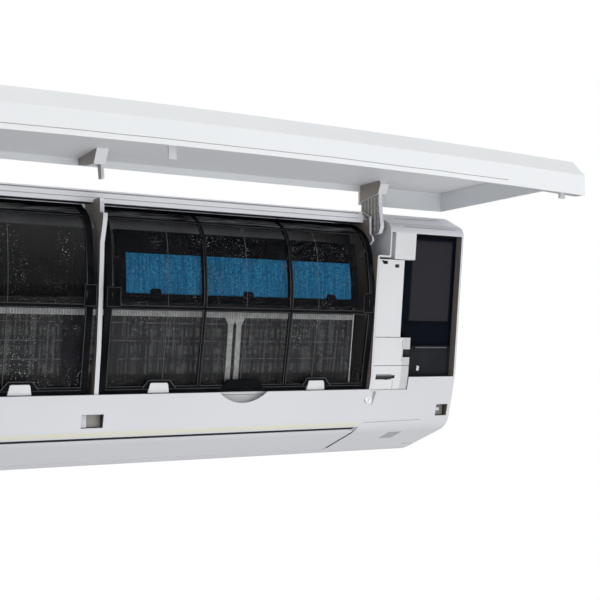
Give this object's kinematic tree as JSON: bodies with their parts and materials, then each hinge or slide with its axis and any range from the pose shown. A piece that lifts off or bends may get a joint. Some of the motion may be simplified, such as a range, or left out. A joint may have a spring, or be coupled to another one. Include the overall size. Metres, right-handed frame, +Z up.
{
  "type": "mini split indoor unit",
  "caption": "Wall-hung indoor air conditioner unit with a lift-up front panel, slide-out filters, coil, cross-flow fan, air flap and linked vanes.",
  "frame": {"origin": "centre of the wall plate's four screw holes, on the wall", "axes": "+X to the right along the wall, -Y out of the wall towards the room, +Z up"},
  "size_m": [0.808, 0.403, 0.3435],
  "materials": {
    "casing_white": "satin",
    "panel_white": "satin",
    "inner_white": "satin",
    "filter_black": "satin",
    "screen_black": "fine woven",
    "pad_blue": "pleated",
    "fins": "thin sheet",
    "copper": "drawn tube",
    "steel": "plain",
    "plate_steel": "zinc coated",
    "dark_plastic": "satin",
    "fan_black": "satin",
    "rubber": "matte",
    "board_green": "satin",
    "window": "smoky"
  },
  "bodies": {
    "casing": {"circuit_board": "board_green", "coil_end_plates": "plate_steel", "coil_fins": "fins", "coil_strips": "steel", "coil_tubes": "copper", "control_box": "dark_plastic", "control_cover": "dark_plastic", "display_board": "board_green", "drain_pan": "inner_white", "drain_spigot": "inner_white", "fan_bearing": "rubber", "fan_motor": "plate_steel", "flap_motor": "plate_steel", "frame_screws": "steel", "front_frame": "casing_white", "hinge_bracket_left": "inner_white", "hinge_bracket_right": "inner_white", "hinge_cover": "inner_white", "hinge_pins": "steel", "intake_grille": "casing_white", "lower_cover": "inner_white", "motor_clamp": "inner_white", "mounting_plate": "plate_steel", "rear_chassis": "inner_white", "receiver_window": "window", "refrigerant_pipes": "copper", "seat_block": "inner_white", "terminal_block": "dark_plastic", "terminal_cover": "dark_plastic", "terminal_screws": "steel", "vane_rail": "inner_white", "wire_cover": "inner_white"},
    "panel": {"front_panel": "panel_white", "panel_liner": "panel_white", "panel_arm_right": "panel_white", "panel_arm_left": "panel_white", "panel_hook": "panel_white", "panel_pegs": "panel_white"},
    "filter_left": {"filter_frame_left": "filter_black", "filter_mesh_left": "screen_black"},
    "filter_right": {"filter_frame_right": "filter_black", "filter_mesh_right": "screen_black", "purifier_holder": "filter_black", "purifier_pads": "pad_blue"},
    "fan": {"fan_rotor": "fan_black", "fan_shafts": "steel"},
    "flap": {"air_flap": "casing_white"},
    "button": {"operation_button": "inner_white"},
    "vane_left_1": {"vane_left_1": "inner_white"},
    "vane_left_2": {"vane_left_2": "inner_white"},
    "vane_left_3": {"vane_left_3": "inner_white"},
    "vane_left_4": {"vane_left_4": "inner_white"},
    "vane_left_5": {"vane_left_5": "inner_white"},
    "link_left": {"vane_link_left": "inner_white"},
    "vane_right_1": {"vane_right_1": "inner_white"},
    "vane_right_2": {"vane_right_2": "inner_white"},
    "vane_right_3": {"vane_right_3": "inner_white"},
    "vane_right_4": {"vane_right_4": "inner_white"},
    "vane_right_5": {"vane_right_5": "inner_white"},
    "link_right": {"vane_link_right": "inner_white"}
  },
  "joints": [
    {"name": "panel_hinge", "type": "hinge", "parent": "casing", "child": "panel", "pos_m": [0, -0.165, 0.1025], "axis": [-1, 0, 0], "range_deg": [-90, 0]},
    {"name": "filter_left_slide", "type": "slide", "parent": "casing", "child": "filter_left", "axis": [0, -1, 0], "range_m": [0, 0.12]},
    {"name": "filter_right_slide", "type": "slide", "parent": "casing", "child": "filter_right", "axis": [0, -1, 0], "range_m": [0, 0.12]},
    {"name": "fan_spin", "type": "hinge", "parent": "casing", "child": "fan", "pos_m": [0, -0.095, -0.055], "axis": [1, 0, 0], "continuous": true},
    {"name": "flap_hinge", "type": "hinge", "parent": "casing", "child": "flap", "pos_m": [0, -0.1, -0.16], "axis": [1, 0, 0], "range_deg": [0, 70]},
    {"name": "button_press", "type": "slide", "parent": "casing", "child": "button", "axis": [0, 1, 0], "range_m": [0, 0.0015], "stiffness_N_per_m": 500, "springref_m": -0.001},
    {"name": "vane_left_1_turn", "type": "hinge", "parent": "casing", "child": "vane_left_1", "pos_m": [-0.081, -0.07906, -0.13878], "axis": [0, -0.9343, 0.3564], "range_deg": [-35, 35]},
    {"name": "vane_left_2_turn", "type": "hinge", "parent": "casing", "child": "vane_left_2", "pos_m": [-0.143, -0.07906, -0.13878], "axis": [0, -0.9343, 0.3564], "range_deg": [-35, 35]},
    {"name": "vane_left_3_turn", "type": "hinge", "parent": "casing", "child": "vane_left_3", "pos_m": [-0.205, -0.07906, -0.13878], "axis": [0, -0.9343, 0.3564], "range_deg": [-35, 35]},
    {"name": "vane_left_4_turn", "type": "hinge", "parent": "casing", "child": "vane_left_4", "pos_m": [-0.267, -0.07906, -0.13878], "axis": [0, -0.9343, 0.3564], "range_deg": [-35, 35]},
    {"name": "vane_left_5_turn", "type": "hinge", "parent": "casing", "child": "vane_left_5", "pos_m": [-0.329, -0.07906, -0.13878], "axis": [0, -0.9343, 0.3564], "range_deg": [-35, 35]},
    {"name": "link_left_turn", "type": "hinge", "parent": "vane_left_1", "child": "link_left", "pos_m": [-0.081, -0.08383, -0.12518], "axis": [0, -0.9343, 0.3564], "range_deg": [-35, 35]},
    {"name": "vane_right_1_turn", "type": "hinge", "parent": "casing", "child": "vane_right_1", "pos_m": [-0.019, -0.07906, -0.13878], "axis": [0, -0.9343, 0.3564], "range_deg": [-35, 35]},
    {"name": "vane_right_2_turn", "type": "hinge", "parent": "casing", "child": "vane_right_2", "pos_m": [0.043, -0.07906, -0.13878], "axis": [0, -0.9343, 0.3564], "range_deg": [-35, 35]},
    {"name": "vane_right_3_turn", "type": "hinge", "parent": "casing", "child": "vane_right_3", "pos_m": [0.105, -0.07906, -0.13878], "axis": [0, -0.9343, 0.3564], "range_deg": [-35, 35]},
    {"name": "vane_right_4_turn", "type": "hinge", "parent": "casing", "child": "vane_right_4", "pos_m": [0.167, -0.07906, -0.13878], "axis": [0, -0.9343, 0.3564], "range_deg": [-35, 35]},
    {"name": "vane_right_5_turn", "type": "hinge", "parent": "casing", "child": "vane_right_5", "pos_m": [0.229, -0.07906, -0.13878], "axis": [0, -0.9343, 0.3564], "range_deg": [-35, 35]},
    {"name": "link_right_turn", "type": "hinge", "parent": "vane_right_1", "child": "link_right", "pos_m": [-0.019, -0.08383, -0.12518], "axis": [0, -0.9343, 0.3564], "range_deg": [-35, 35]}
  ],
  "couplings": [
    {"joint": "vane_left_2_turn", "follows": "vane_left_1_turn", "ratio": 1},
    {"joint": "vane_left_3_turn", "follows": "vane_left_1_turn", "ratio": 1},
    {"joint": "vane_left_4_turn", "follows": "vane_left_1_turn", "ratio": 1},
    {"joint": "vane_left_5_turn", "follows": "vane_left_1_turn", "ratio": 1},
    {"joint": "link_left_turn", "follows": "vane_left_1_turn", "ratio": -1},
    {"joint": "vane_right_2_turn", "follows": "vane_right_1_turn", "ratio": 1},
    {"joint": "vane_right_3_turn", "follows": "vane_right_1_turn", "ratio": 1},
    {"joint": "vane_right_4_turn", "follows": "vane_right_1_turn", "ratio": 1},
    {"joint": "vane_right_5_turn", "follows": "vane_right_1_turn", "ratio": 1},
    {"joint": "link_right_turn", "follows": "vane_right_1_turn", "ratio": -1}
  ]
}
